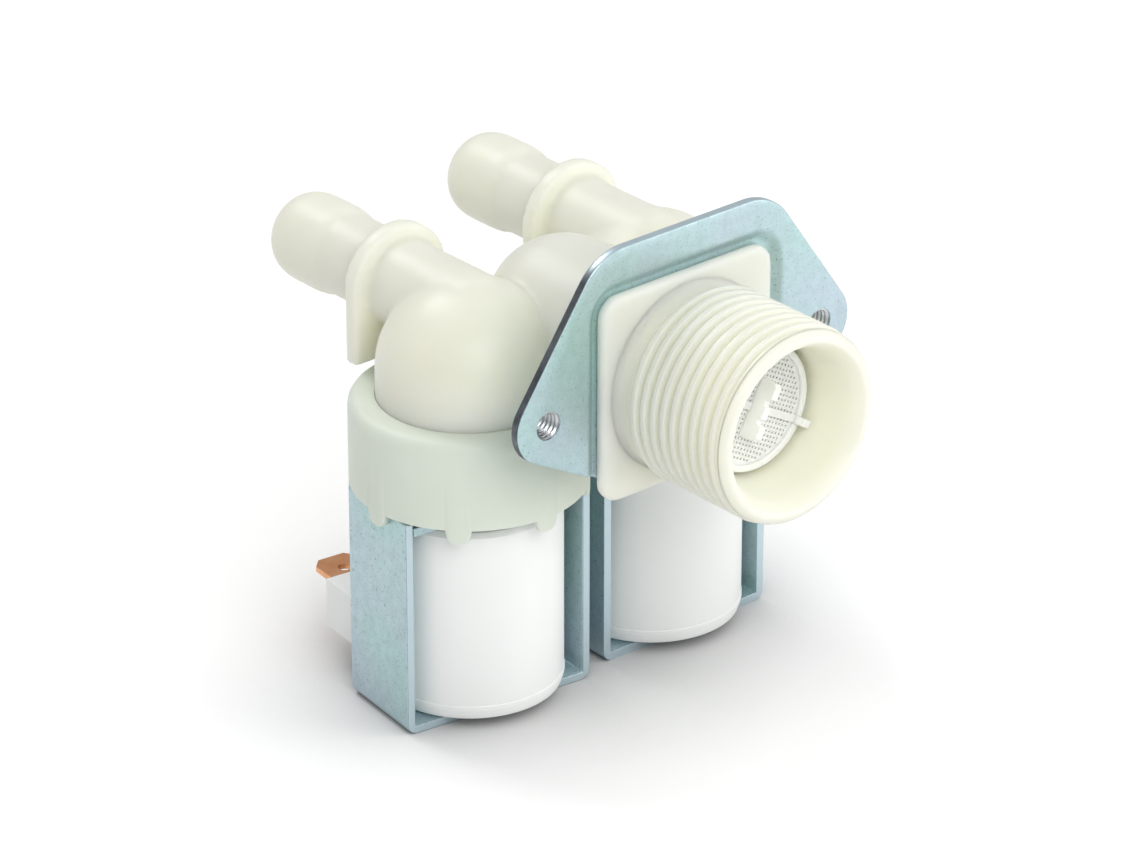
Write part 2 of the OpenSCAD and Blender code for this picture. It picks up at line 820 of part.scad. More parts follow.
valve_body();
mounting_plate();
inlet_filter();
flow_washer();
washer_cage();
retaining_ring(-1);  // retaining_ring_left
retaining_ring(1);  // retaining_ring_right
guide_tube(-1);  // guide_tube_left
guide_tube(1);  // guide_tube_right
diaphragm(-1);  // diaphragm_left
diaphragm(1);  // diaphragm_right
diaphragm_insert(-1);  // diaphragm_insert_left
diaphragm_insert(1);  // diaphragm_insert_right
plunger(-1);  // plunger_left
plunger(1);  // plunger_right
plunger_seal(-1);  // plunger_seal_left
plunger_seal(1);  // plunger_seal_right
plunger_spring(-1);  // plunger_spring_left
plunger_spring(1);  // plunger_spring_right
yoke(-1);  // yoke_left
yoke(1);  // yoke_right
yoke_top(-1);  // yoke_top_left
yoke_top(1);  // yoke_top_right
bush(-1, top_plate_top - 0.05 - bush_length);  // upper_bush_left
bush(1, top_plate_top - 0.05 - bush_length);  // upper_bush_right
bush(-1, yoke_bottom + 0.1);  // lower_bush_left
bush(1, yoke_bottom + 0.1);  // lower_bush_right
coil(-1);  // coil_left
coil(1);  // coil_right
winding(-1);  // winding_left
winding(1);  // winding_right
spade(-1, -1);  // spade_a_left
spade(-1, 1);  // spade_b_left
spade(1, -1);  // spade_a_right
spade(1, 1);  // spade_b_right
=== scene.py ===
# %% [markdown]
# A twin water inlet valve for a washing machine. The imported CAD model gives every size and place,
# and this lesson dresses it: it keeps the nodes whose shape is right, makes finer surfaces where the
# real part has threads, fillets or a fine mesh, and gives everything a procedural finish.

# %% Load the frame
import json
import math

import bmesh
import bpy
import numpy as np
from mathutils import Matrix, Vector


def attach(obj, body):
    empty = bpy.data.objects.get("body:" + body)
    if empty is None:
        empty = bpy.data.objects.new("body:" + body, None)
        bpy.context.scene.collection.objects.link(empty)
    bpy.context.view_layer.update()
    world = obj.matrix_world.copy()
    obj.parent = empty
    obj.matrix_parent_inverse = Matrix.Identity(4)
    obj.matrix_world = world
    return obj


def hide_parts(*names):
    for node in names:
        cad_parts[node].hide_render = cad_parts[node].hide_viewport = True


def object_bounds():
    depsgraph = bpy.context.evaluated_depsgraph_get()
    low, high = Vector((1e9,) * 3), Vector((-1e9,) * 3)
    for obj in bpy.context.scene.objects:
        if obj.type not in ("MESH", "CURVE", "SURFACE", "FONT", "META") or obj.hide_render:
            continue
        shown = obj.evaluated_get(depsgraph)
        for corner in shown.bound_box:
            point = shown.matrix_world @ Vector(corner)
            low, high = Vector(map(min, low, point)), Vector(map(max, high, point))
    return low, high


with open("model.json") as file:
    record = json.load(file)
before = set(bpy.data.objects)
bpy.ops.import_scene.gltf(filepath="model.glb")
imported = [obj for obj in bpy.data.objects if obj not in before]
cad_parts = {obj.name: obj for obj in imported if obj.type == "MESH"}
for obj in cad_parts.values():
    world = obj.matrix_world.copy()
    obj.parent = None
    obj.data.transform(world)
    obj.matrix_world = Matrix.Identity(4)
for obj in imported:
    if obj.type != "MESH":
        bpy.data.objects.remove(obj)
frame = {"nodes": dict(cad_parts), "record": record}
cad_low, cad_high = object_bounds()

MM = 0.001
SIDES = {"left": -1, "right": 1}
print("CAD box in mm:", [round(v / MM, 1) for v in cad_high - cad_low])

# %% [markdown]
# The camera stands where the photograph was taken from: left of the hose thread, looking down at it.
# Its place comes from the ellipse of the thread's rim and from the edges of the plate, whose real
# sizes are known. A long lens keeps the perspective as weak as it is in the photograph.

# %% The camera
TURN = math.radians(-40.75)
RISE = math.radians(26.5)
FOCAL_PX = 5600.0
IMAGE_W = 1140.0
DISTANCE = 713.3 * MM
SIDE_SHIFT = -13.549 * MM
UP_SHIFT = -7.552 * MM
DATUM = Vector((0, 1.955 * MM, 0))

right = Vector((math.cos(TURN), math.sin(TURN), 0))
back = Vector((math.sin(TURN) * math.cos(RISE), -math.cos(TURN) * math.cos(RISE), math.sin(RISE)))
up = back.cross(right)
camera = bpy.data.objects.new("camera", bpy.data.cameras.new("camera"))
bpy.context.collection.objects.link(camera)
camera.data.sensor_width = 36.0
camera.data.lens = FOCAL_PX / IMAGE_W * camera.data.sensor_width
camera.data.clip_start = 0.05
camera.data.clip_end = 20.0
place = Matrix((right, up, back)).transposed().to_4x4()
place.translation = DATUM + back * DISTANCE + right * SIDE_SHIFT + up * UP_SHIFT
camera.matrix_world = place
bpy.context.scene.camera = camera
print("lens", round(camera.data.lens, 1), "mm")

# %% [markdown]
# Surfaces are grids: a function turns two parameters into points, and one helper turns the grid of
# points into a mesh. A grid may close on itself in either direction, as a ring does.

# %% From a grid of points to a mesh
def grid_mesh(name, points, close_u=True, close_v=False):
    """Mesh of a grid of points with shape (u, v, 3). Face (i, j) joins points (i, j), (i+1, j),
    (i+1, j+1) and (i, j+1), and the last row or column joins the first where the grid is closed."""
    nu, nv = points.shape[:2]
    i, j = np.meshgrid(np.arange(nu if close_u else nu - 1), np.arange(nv if close_v else nv - 1), indexing="ij")
    i1, j1 = (i + 1) % nu, (j + 1) % nv
    faces = np.stack([i * nv + j, i1 * nv + j, i1 * nv + j1, i * nv + j1], axis=-1).reshape(-1, 4)
    mesh = bpy.data.meshes.new(name)
    mesh.from_pydata(points.reshape(-1, 3).tolist(), [], faces.tolist())
    return mesh


def outward(mesh, smooth_angle=40.0):
    """Merges doubled points, closes open ends, turns all faces outwards and shades them smooth."""
    bm = bmesh.new()
    bm.from_mesh(mesh)
    bmesh.ops.remove_doubles(bm, verts=bm.verts, dist=1e-7)
    ends = [e for e in bm.edges if len(e.link_faces) == 1]
    if ends:
        bmesh.ops.holes_fill(bm, edges=ends)
    bmesh.ops.recalc_face_normals(bm, faces=bm.faces)
    bm.to_mesh(mesh)
    bm.free()
    mesh.shade_smooth()
    mesh.set_sharp_from_angle(angle=math.radians(smooth_angle))


def add_piece(name, mesh, body, material, node=None):
    """Puts a mesh into the scene as a piece of the object, on its body and with its finish."""
    piece = bpy.data.objects.new(name, mesh)
    bpy.context.collection.objects.link(piece)
    mesh.materials.clear()
    mesh.materials.append(material)
    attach(piece, body)
    if node:
        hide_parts(node)
    return piece


def profile_points(corners, step=0.5):
    """Points along a closed or open run of corners in mm, no two further apart than step."""
    out = []
    for a, b in zip(corners[:-1], corners[1:]):
        n = max(1, int(math.ceil(math.dist(a, b) / step)))
        t = np.linspace(0, 1, n, endpoint=False)[:, None]
        out.append(np.array(a) * (1 - t) + np.array(b) * t)
    out.append(np.array([corners[-1]]))
    return np.concatenate(out)


def round_corner(a, corner, b, radius, n=5):
    """Arc that rounds a corner of a profile: a quadratic curve from the point radius before the
    corner to the point radius after it."""
    a, corner, b = (np.array(p, float) for p in (a, corner, b))
    start = corner + (a - corner) / np.linalg.norm(a - corner) * radius
    end = corner + (b - corner) / np.linalg.norm(b - corner) * radius
    t = np.linspace(0, 1, n)[:, None]
    return [tuple(p) for p in (1 - t) ** 2 * start + 2 * t * (1 - t) * corner + t ** 2 * end]


def rounded(corners, radii, closed=True):
    """Closed profile with each corner rounded by its own radius, where 0 keeps it sharp."""
    out = []
    n = len(corners)
    for k, (corner, radius) in enumerate(zip(corners, radii)):
        if radius == 0 or (not closed and k in (0, n - 1)):
            out.append(tuple(corner))
        else:
            out += round_corner(corners[k - 1], corner, corners[(k + 1) % n], radius)
    return out + [out[0]] if closed else out


def lathe(profile, turns=128, axis="z", centre=(0, 0, 0)):
    """Turns a profile of (radius, height) in mm about an axis: a point is
    centre + radius cos a, radius sin a across the axis, height along it."""
    profile = np.asarray(profile, float)
    a = np.linspace(0, 2 * np.pi, turns, endpoint=False)[:, None]
    x = profile[None, :, 0] * np.cos(a)
    y = profile[None, :, 0] * np.sin(a)
    z = np.broadcast_to(profile[None, :, 1], x.shape)
    order = {"z": (x, y, z), "y": (y, z, x)}[axis]
    return (np.stack(order, axis=-1) + np.array(centre)) * MM


# %% [markdown]
# Plastic, sheet metal and rubber all need small changes of colour over the surface, or they look like
# paper. One node group gives a soft cloud between two colours and a matching roughness, and a second
# one gives fine grain for the bump. Each material places them with its own values.

# %% Shared shader groups
def make_group(name, inputs, outputs):
    """Shader node group with named float or colour inputs and outputs."""
    group = bpy.data.node_groups.new(name, "ShaderNodeTree")
    kinds = {"f": "NodeSocketFloat", "c": "NodeSocketColor", "v": "NodeSocketVector"}
    for label, kind, default in inputs:
        socket = group.interface.new_socket(label, in_out="INPUT", socket_type=kinds[kind])
        socket.default_value = default
    for label, kind in outputs:
        group.interface.new_socket(label, in_out="OUTPUT", socket_type=kinds[kind])
    return group


def cloud_group():
    """Colour = mix(colour A, colour B, cloud), roughness = base + swing * cloud, where cloud is a
    fractal noise on object coordinates whose contrast is stretched about its middle."""
    group = make_group(
        "cloud",
        [("Color A", "c", (1, 1, 1, 1)), ("Color B", "c", (0.8, 0.8, 0.8, 1)), ("Scale", "f", 100.0),
         ("Contrast", "f", 2.0), ("Roughness", "f", 0.4), ("Swing", "f", 0.1)],
        [("Color", "c"), ("Roughness", "f"), ("Cloud", "f")],
    )
    n, link = group.nodes, group.links.new
    gin, gout = n.new("NodeGroupInput"), n.new("NodeGroupOutput")
    coords = n.new("ShaderNodeTexCoord")
    noise = n.new("ShaderNodeTexNoise")
    noise.inputs["Detail"].default_value = 5.0
    noise.inputs["Roughness"].default_value = 0.55
    link(coords.outputs["Object"], noise.inputs["Vector"])
    link(gin.outputs["Scale"], noise.inputs["Scale"])
    centre = n.new("ShaderNodeMath")
    centre.operation = "SUBTRACT"
    centre.inputs[1].default_value = 0.5
    link(noise.outputs["Fac"], centre.inputs[0])
    stretch = n.new("ShaderNodeMath")
    stretch.operation = "MULTIPLY_ADD"
    stretch.inputs[2].default_value = 0.5
    stretch.use_clamp = True
    link(centre.outputs[0], stretch.inputs[0])
    link(gin.outputs["Contrast"], stretch.inputs[1])
    mix = n.new("ShaderNodeMix")
    mix.data_type = "RGBA"
    link(stretch.outputs[0], mix.inputs["Factor"])
    link(gin.outputs["Color A"], mix.inputs["A"])
    link(gin.outputs["Color B"], mix.inputs["B"])
    rough = n.new("ShaderNodeMath")
    rough.operation = "MULTIPLY_ADD"
    link(stretch.outputs[0], rough.inputs[0])
    link(gin.outputs["Swing"], rough.inputs[1])
    link(gin.outputs["Roughness"], rough.inputs[2])
    link(mix.outputs["Result"], gout.inputs["Color"])
    link(rough.outputs[0], gout.inputs["Roughness"])
    link(stretch.outputs[0], gout.inputs["Cloud"])
    return group


def grain_group():
    """Height = strength * fine noise on object coordinates, for the Bump node of a material."""
    group = make_group(
        "grain", [("Scale", "f", 900.0), ("Strength", "f", 1.0), ("Stretch", "v", (1, 1, 1))], [("Height", "f")]
    )
    n, link = group.nodes, group.links.new
    gin, gout = n.new("NodeGroupInput"), n.new("NodeGroupOutput")
    coords = n.new("ShaderNodeTexCoord")
    pull = n.new("ShaderNodeVectorMath")
    pull.operation = "MULTIPLY"
    noise = n.new("ShaderNodeTexNoise")
    noise.inputs["Detail"].default_value = 3.0
    scale = n.new("ShaderNodeMath")
    scale.operation = "MULTIPLY"
    link(coords.outputs["Object"], pull.inputs[0])
    link(gin.outputs["Stretch"], pull.inputs[1])
    link(pull.outputs[0], noise.inputs["Vector"])
    link(gin.outputs["Scale"], noise.inputs["Scale"])
    link(noise.outputs["Fac"], scale.inputs[0])
    link(gin.outputs["Strength"], scale.inputs[1])
    link(scale.outputs[0], gout.inputs["Height"])
    return group


CLOUD = cloud_group()
GRAIN = grain_group()


def linear(r, g, b):
    """Linear colour of a display colour given in steps of 255, by the sRGB curve."""
    c = np.array([r, g, b]) / 255
    lin = np.where(c <= 0.04045, c / 12.92, ((c + 0.055) / 1.055) ** 2.4)
    return (*[float(v) for v in lin], 1.0)


def finish(name, color_a, color_b, scale=120.0, contrast=2.5, rough=0.4, swing=0.1, grain=900.0,
           bump=0.1, bump_mm=0.02, stretch=(1, 1, 1), **sockets):
    """Material with a clouded colour and roughness and a fine bump. The rest are socket values."""
    material = bpy.data.materials.new(name)
    material.use_nodes = True
    n, link = material.node_tree.nodes, material.node_tree.links.new
    shader = n["Principled BSDF"]
    cloud = n.new("ShaderNodeGroup")
    cloud.node_tree = CLOUD
    cloud.inputs["Color A"].default_value = color_a
    cloud.inputs["Color B"].default_value = color_b
    cloud.inputs["Scale"].default_value = scale
    cloud.inputs["Contrast"].default_value = contrast
    cloud.inputs["Roughness"].default_value = rough
    cloud.inputs["Swing"].default_value = swing
    fine = n.new("ShaderNodeGroup")
    fine.node_tree = GRAIN
    fine.inputs["Scale"].default_value = grain
    fine.inputs["Stretch"].default_value = stretch
    relief = n.new("ShaderNodeBump")
    relief.inputs["Strength"].default_value = bump
    relief.inputs["Distance"].default_value = bump_mm * MM
    link(cloud.outputs["Color"], shader.inputs["Base Color"])
    link(cloud.outputs["Roughness"], shader.inputs["Roughness"])
    link(fine.outputs["Height"], relief.inputs["Height"])
    link(relief.outputs["Normal"], shader.inputs["Normal"])
    for label, value in sockets.items():
        shader.inputs[label.replace("_", " ")].default_value = value
    return material


# %% [markdown]
# The body is an ivory acetal or polypropylene moulding. Light goes a little way into it, which softens
# its shadows, so it gets some subsurface scattering under a satin surface. The rings are the same kind
# of plastic with a green cast, the coils are a whiter, glossier polyester.

# %% Plastics and rubber
ivory = finish(
    "ivory_moulding", linear(241, 241, 226), linear(236, 236, 218), scale=90, contrast=1.4, rough=0.36,
    swing=0.1, grain=500, bump=0.12, bump_mm=0.05,
    Subsurface_Weight=0.7, Subsurface_Radius=(1.0, 0.95, 0.75), Subsurface_Scale=5.0 * MM, IOR=1.48,
)
ring_plastic = finish(
    "ring_moulding", linear(226, 233, 221), linear(218, 226, 213), scale=110, contrast=1.4, rough=0.42,
    swing=0.1, grain=500, bump=0.12, bump_mm=0.05,
    Subsurface_Weight=0.25, Subsurface_Radius=(1.0, 0.95, 0.8), Subsurface_Scale=2.0 * MM, IOR=1.48,
)
filter_plastic = finish(
    "filter_plastic", linear(248, 249, 246), linear(240, 242, 238), scale=200, rough=0.35, swing=0.1,
    Subsurface_Weight=0.4, Subsurface_Radius=(1.0, 1.0, 1.0), Subsurface_Scale=1.0 * MM,
)
coil_plastic = finish(
    "coil_moulding", linear(250, 251, 249), linear(245, 248, 247), scale=80, contrast=1.2, rough=0.4,
    swing=0.05, grain=400, bump=0.03, bump_mm=0.05,
    Subsurface_Weight=0.15, Subsurface_Radius=(1.0, 1.0, 1.0), Subsurface_Scale=1.0 * MM,
)
rubber = finish(
    "rubber", linear(44, 44, 46), linear(30, 30, 32), scale=300, rough=0.6, swing=0.15, grain=1500, bump=0.3,
)

# %% [markdown]
# The plate and the yokes are mild steel, zinc plated and blue passivated. The plating is a satin metal with a pale blue
# tone that drifts towards green and pink, fine dark specks and a fine grain.

# %% Metals
zinc = finish(
    "zinc_plate", linear(190, 214, 223), linear(180, 204, 211), scale=700, contrast=2.6, rough=0.36,
    swing=0.1, grain=1900, bump=0.3, bump_mm=0.02, Metallic=0.62,
)
n, link = zinc.node_tree.nodes, zinc.node_tree.links.new
coords = n.new("ShaderNodeTexCoord")
drift = n.new("ShaderNodeTexNoise")
drift.inputs["Scale"].default_value = 55.0
drift.inputs["Detail"].default_value = 2.0
tone = n.new("ShaderNodeValToRGB")
tone.color_ramp.elements[0].position, tone.color_ramp.elements[0].color = 0.36, linear(246, 255, 244)
tone.color_ramp.elements[1].position, tone.color_ramp.elements[1].color = 0.64, linear(255, 248, 250)
specks = n.new("ShaderNodeTexNoise")
specks.inputs["Scale"].default_value = 3200.0
specks.inputs["Detail"].default_value = 2.0
dark = n.new("ShaderNodeValToRGB")
dark.color_ramp.elements[0].position, dark.color_ramp.elements[0].color = 0.27, linear(196, 198, 198)
dark.color_ramp.elements[1].position, dark.color_ramp.elements[1].color = 0.4, (1, 1, 1, 1)
tint, spot = n.new("ShaderNodeMix"), n.new("ShaderNodeMix")
for mix in (tint, spot):
    mix.data_type, mix.blend_type = "RGBA", "MULTIPLY"
    mix.inputs["Factor"].default_value = 1.0
link(coords.outputs["Object"], drift.inputs["Vector"])
link(coords.outputs["Object"], specks.inputs["Vector"])
link(drift.outputs["Fac"], tone.inputs["Fac"])
link(specks.outputs["Fac"], dark.inputs["Fac"])
base = n["Principled BSDF"].inputs["Base Color"]
link(base.links[0].from_socket, tint.inputs["A"])
link(tone.outputs["Color"], tint.inputs["B"])
link(tint.outputs["Result"], spot.inputs["A"])
link(dark.outputs["Color"], spot.inputs["B"])
link(spot.outputs["Result"], base)

# %% [markdown]
# Where the plate was cut out of its sheet, the shears left a smoother face. Its colour is a painted reflection that
# follows the way the face looks: painted dark where it looks to the left, for the dark of the room, and light where it
# looks up, for the sky.

# %% The cut edge and its painted reflection
# The dark cloud colours are a painted reflection of the dark room, shown where the face looks to the left.
sheared_and_painted_reflection = finish(
    "sheared_edge", linear(112, 118, 124), linear(78, 84, 90), scale=500, contrast=3.0, rough=0.3, swing=0.15,
    grain=2400, bump=0.3, stretch=(1, 0.1, 1), Metallic=0.75,
)
n, link = sheared_and_painted_reflection.node_tree.nodes, sheared_and_painted_reflection.node_tree.links.new
normal = n.new("ShaderNodeNewGeometry")
split = n.new("ShaderNodeSeparateXYZ")
# Painted reflection: faces that look to the left keep the dark colours, and all others take the light colour below, a
# painted reflection of the sky.
painted_reflection_facing = n.new("ShaderNodeMapRange")
painted_reflection_facing.interpolation_type = "SMOOTHSTEP"
painted_reflection_facing.inputs["From Min"].default_value = -0.8
painted_reflection_facing.inputs["From Max"].default_value = -0.45
both = n.new("ShaderNodeMix")
both.data_type = "RGBA"
both.inputs["B"].default_value = linear(196, 214, 222)
link(normal.outputs["Normal"], split.inputs[0])
link(split.outputs["X"], painted_reflection_facing.inputs["Value"])
link(painted_reflection_facing.outputs["Result"], both.inputs["Factor"])
base = n["Principled BSDF"].inputs["Base Color"]
link(base.links[0].from_socket, both.inputs["A"])
link(both.outputs["Result"], base)

# %% [markdown]
# Terminals, bushes, plunger and winding are bare or tinned metal, each with its own tone.

# %% Other metals
bright_steel = finish(
    "bright_steel", linear(205, 208, 210), linear(180, 184, 188), scale=400, rough=0.25, swing=0.12,
    grain=2500, bump=0.15, Metallic=1.0,
)
copper_wire = finish(
    "copper_wire", linear(190, 110, 70), linear(160, 85, 50), scale=300, rough=0.3, grain=3000, bump=0.4,
    stretch=(0.02, 0.02, 1), Metallic=1.0,
)
terminal_metal = finish(
    "terminal_metal", linear(232, 176, 134), linear(214, 150, 105), scale=350, contrast=3, rough=0.3,
    swing=0.12, grain=1800, bump=0.2, Metallic=1.0,
)
FINISH = {
    "moulding": ivory, "ring": ring_plastic, "filter": filter_plastic, "coil": coil_plastic,
    "zinc_plate": zinc, "steel": bright_steel, "copper": copper_wire, "terminal": terminal_metal,
    "rubber": rubber,
}
slot_of = {s["node"]: s["material_slot"] for s in frame["record"]["subparts"]}
body_of = {node: body for body, nodes in frame["record"]["behaviour"]["bodies"].items() for node in nodes}
for node, thing in frame["nodes"].items():
    thing.data.materials.clear()
    thing.data.materials.append(FINISH[slot_of[node]])
print(len(frame["nodes"]), "nodes have their finish")

# %% [markdown]
# Stamped and moulded edges are never sharp. A copy of a node's mesh is merged, its flat faces are
# joined, and a Bevel modifier rounds every edge by the same small radius.

# %% Rounded copies of rigid nodes
def rounded_copy(node, radius_mm, segments=2, angle=32.0):
    """Copy of a node with its edges rounded by a bevel. It stands for the node."""
    mesh = frame["nodes"][node].data.copy()
    bm = bmesh.new()
    bm.from_mesh(mesh)
    bmesh.ops.remove_doubles(bm, verts=bm.verts, dist=2e-6)
    bmesh.ops.dissolve_limit(bm, angle_limit=math.radians(0.5), verts=bm.verts, edges=bm.edges)
    bm.to_mesh(mesh)
    bm.free()
    mesh.shade_smooth()
    mesh.set_sharp_from_angle(angle=math.radians(angle))
    piece = add_piece(node + "_rounded", mesh, body_of[node], FINISH[slot_of[node]], node)
    bevel = piece.modifiers.new("edges", "BEVEL")
    bevel.width = radius_mm * MM
    bevel.segments = segments
    bevel.limit_method = "ANGLE"
    bevel.angle_limit = math.radians(angle)
    bevel.harden_normals = True
    return piece


for side in SIDES:
    for node, radius in (("yoke_", 0.22), ("yoke_top_", 0.15), ("spade_a_", 0.08), ("spade_b_", 0.08), ("coil_", 0.35)):
        piece = rounded_copy(node + side, radius)
        if node == "yoke_":
            # Its cut faces take the cut-edge material, whose colour is a painted reflection.
            piece.data.materials.append(sheared_and_painted_reflection)
            flat = np.empty(3 * len(piece.data.polygons))
            piece.data.polygons.foreach_get("normal", flat)
            cut_face = np.abs(flat.reshape(-1, 3)[:, 1]) > 0.9
            piece.data.polygons.foreach_set("material_index", cut_face.astype(np.int32))

# %% [markdown]
# The mounting plate is pressed, so the wall of its dish runs into the flat sheet in a soft curve. Its
# outline is the hull of six circles. Along a ray from the middle, a hull ends where the smallest of
# support / cos lies, over all directions, so the outline and both ends of the dish's wall come from one
# formula, and the sheet is a grid of rays and steps along them.

# %% The mounting plate
PLATE_T, DISH, DISH_HALF, DISH_CORNER = 1.3, 1.3, 14.63, 3.4
SLOT_R, PLATE_LOW = 9.8, -11.9
EARS = [(s * 23.1, 0, 5.1) for s in (-1, 1)]
OUTLINE = EARS + [(s * 10.3, 12.43, 8.4) for s in (-1, 1)] + [(s * 11.6, -10.2, 1.7) for s in (-1, 1)]


def hull_radius(circles, angle):
    """Distance from the middle to the edge of the hull of circles (x, z, r) along each angle: the
    smallest of support(phi) / cos(angle - phi), where support is the largest of x cos + z sin + r."""
    phi = np.linspace(0, 2 * np.pi, 1440, endpoint=False)
    x, z, r = (np.array(c)[:, None] for c in zip(*circles))
    support = (x * np.cos(phi) + z * np.sin(phi) + r).max(axis=0)
    facing = np.cos(angle[:, None] - phi[None, :])
    return np.where(facing > 0.05, support / np.maximum(facing, 0.05), 1e9).min(axis=1)


def square_circles(grow):
    """Corner circles of the dish's rounded square, grown by a distance."""
    c = DISH_HALF - DISH_CORNER
    return [(sx * c, sz * c, DISH_CORNER + grow) for sx in (-1, 1) for sz in (-1, 1)]


def plate_points(rays=640):
    """Grid of the sheet: front face outwards, round the cut edge, back face inwards. Its depth is
    DISH inside the square and falls to 0 across the wall by 3 t^2 - 2 t^3."""
    end = math.atan2(-PLATE_LOW, SLOT_R)
    angle = np.linspace(-end, math.pi + end, rays)
    edge = hull_radius(OUTLINE, angle)
    low = np.where(np.sin(angle) < 0, SLOT_R / np.maximum(np.abs(np.cos(angle)), 0.05), SLOT_R)
    inner = np.minimum(low, edge)
    foot, brim = hull_radius(square_circles(0.0), angle), hull_radius(square_circles(2.2), angle)
    face = np.stack([inner + (foot - inner) * t for t in (0, 0.5)] + [foot + (brim - foot) * t for t in np.linspace(0, 1, 13)]
                    + [brim + (edge - 0.25 - brim) * t for t in (0.33, 0.67, 1)], axis=1)
    face = np.minimum(face, (edge - 0.25)[:, None])
    face = np.maximum(face, np.minimum(inner, edge - 0.25)[:, None])
    t = np.clip((face - foot[:, None]) / (brim - foot)[:, None], 0, 1)
    depth = DISH * (1 - t * t * (3 - 2 * t))
    rim_r = np.stack([edge - 0.07, edge, edge, edge - 0.07], axis=1)
    rim_y = depth[:, -1:] + np.array([[0.07, 0.25, PLATE_T - 0.25, PLATE_T - 0.07]])
    radius = np.concatenate([face, rim_r, face[:, ::-1]], axis=1)
    y = np.concatenate([depth, rim_y, depth[:, ::-1] + PLATE_T], axis=1)
    return np.stack([radius * np.cos(angle)[:, None], y, radius * np.sin(angle)[:, None]], axis=-1) * MM


def pierced(mesh, cutter):
    """Mesh with the room of a cutter taken out by an exact boolean."""
    body, tool = bpy.data.objects.new("sheet", mesh), bpy.data.objects.new("drill", cutter)
    for thing in (body, tool):
        bpy.context.collection.objects.link(thing)
    drill = body.modifiers.new("drill", "BOOLEAN")
    drill.object, drill.operation, drill.solver = tool, "DIFFERENCE", "EXACT"
    done = bpy.data.meshes.new_from_object(body.evaluated_get(bpy.context.evaluated_depsgraph_get()))
    bpy.data.objects.remove(body)
    bpy.data.objects.remove(tool)
    return done


sheet = grid_mesh("sheet", plate_points(), close_u=False, close_v=True)
outward(sheet, 40)
drills = bmesh.new()
for x, z, r in EARS:
    drills.from_mesh(grid_mesh("drill", lathe([(0, -3), (1.95, -3), (1.95, 6), (0, 6)], 48, "y", (x, 0, z)), True, False))
bmesh.ops.remove_doubles(drills, verts=drills.verts, dist=1e-7)
bmesh.ops.recalc_face_normals(drills, faces=drills.faces)
cutter = bpy.data.meshes.new("drills")
drills.to_mesh(cutter)
drills.free()
sheet = pierced(sheet, cutter)
bm = bmesh.new()
bm.from_mesh(sheet)
for x, z, r in EARS:
    neck = rounded([(1.95, 1.15), (4.2, 1.15), (2.95, 1.45), (2.9, 3.4), (1.95, 3.4)], [0, 0, 0.5, 0.25, 0.1])
    bm.from_mesh(grid_mesh("neck", lathe(neck[:-1], 64, "y", (x, 0, z)), True, True))
bmesh.ops.recalc_face_normals(bm, faces=bm.faces)
bm.to_mesh(sheet)
bm.free()
sheet.shade_smooth()
sheet.set_sharp_from_angle(angle=math.radians(50))
plate = add_piece("mounting_plate_pressed", sheet, "housing", zinc, "mounting_plate")
# The cut edge of the plate takes the cut-edge material, whose colour is a painted reflection.
sheet.materials.append(sheared_and_painted_reflection)
count = len(sheet.polygons)
normals, middles = np.empty(3 * count), np.empty(3 * count)
sheet.polygons.foreach_get("normal", normals)
sheet.polygons.foreach_get("center", middles)
normals, middles = normals.reshape(-1, 3), middles.reshape(-1, 3) / MM
reach = np.hypot(middles[:, 0], middles[:, 2])
at_edge = reach > hull_radius(OUTLINE, np.arctan2(middles[:, 2], middles[:, 0])) - 0.15
sheet.polygons.foreach_set("material_index", (at_edge & (np.abs(normals[:, 1]) < 0.6)).astype(np.int32))
print("plate:", count, "faces")

# %% [markdown]
# The body is one moulding with soft edges where its domes, tails and collars meet. Its node is copied,
# remeshed on a fine voxel grid and relaxed a little, which turns every sharp meeting line into the small
# fillet that a mould leaves. The hose thread needs more than that, so its part is cut off here.

# %% The moulded body behind the thread
FLANGE_FRONT = -0.4
VOXEL = 0.5


def body_shell():
    """Body node cut at the front of its flange, closed, remeshed in voxels of 0.5 mm and relaxed:
    every relaxing step moves a point halfway to the mean of its neighbours."""
    mesh = frame["nodes"]["valve_body"].data.copy()
    bm = bmesh.new()
    bm.from_mesh(mesh)
    bmesh.ops.remove_doubles(bm, verts=bm.verts, dist=2e-6)
    cut = bmesh.ops.bisect_plane(
        bm, geom=bm.verts[:] + bm.edges[:] + bm.faces[:], plane_co=(0, (FLANGE_FRONT + 0.02) * MM, 0),
        plane_no=(0, -1, 0), clear_outer=True,
    )
    edges = [g for g in cut["geom_cut"] if isinstance(g, bmesh.types.BMEdge)]
    bmesh.ops.triangle_fill(bm, edges=edges, use_beauty=True)
    bmesh.ops.recalc_face_normals(bm, faces=bm.faces)
    bm.to_mesh(mesh)
    bm.free()
    rough = bpy.data.objects.new("rough", mesh)
    bpy.context.collection.objects.link(rough)
    remesh = rough.modifiers.new("voxels", "REMESH")
    remesh.mode = "VOXEL"
    remesh.voxel_size = VOXEL * MM
    relax = rough.modifiers.new("relax", "SMOOTH")
    relax.factor = 0.5
    relax.iterations = 4
    thin = rough.modifiers.new("thin", "DECIMATE")
    thin.ratio = 0.75
    graph = bpy.context.evaluated_depsgraph_get()
    done = bpy.data.meshes.new_from_object(rough.evaluated_get(graph))
    bpy.data.objects.remove(rough)
    done.shade_smooth()
    print("body shell:", len(done.polygons), "faces")
    return done


shell = add_piece("body_shell", body_shell(), "housing", ivory, "valve_body")

# %% [markdown]
# The hose thread is a surface of revolution whose radius depends on the angle as well: along the thread
# the radius falls and rises once a pitch, and the wave is shifted by one pitch a turn, which makes it a
# helix. It fades in by the flange and fades out before the plain lead-in at the mouth.

# %% The hose thread
THREAD_R = 13.22
THREAD_PITCH = 1.814
THREAD_DEPTH = 0.85
THREAD_FROM, THREAD_TO = 2.7, 19.7
LEAD_R = 12.95
REACH = 21.2
BORE_R = 9.37
STEP_R, STEP_H = 8.6, 3.9


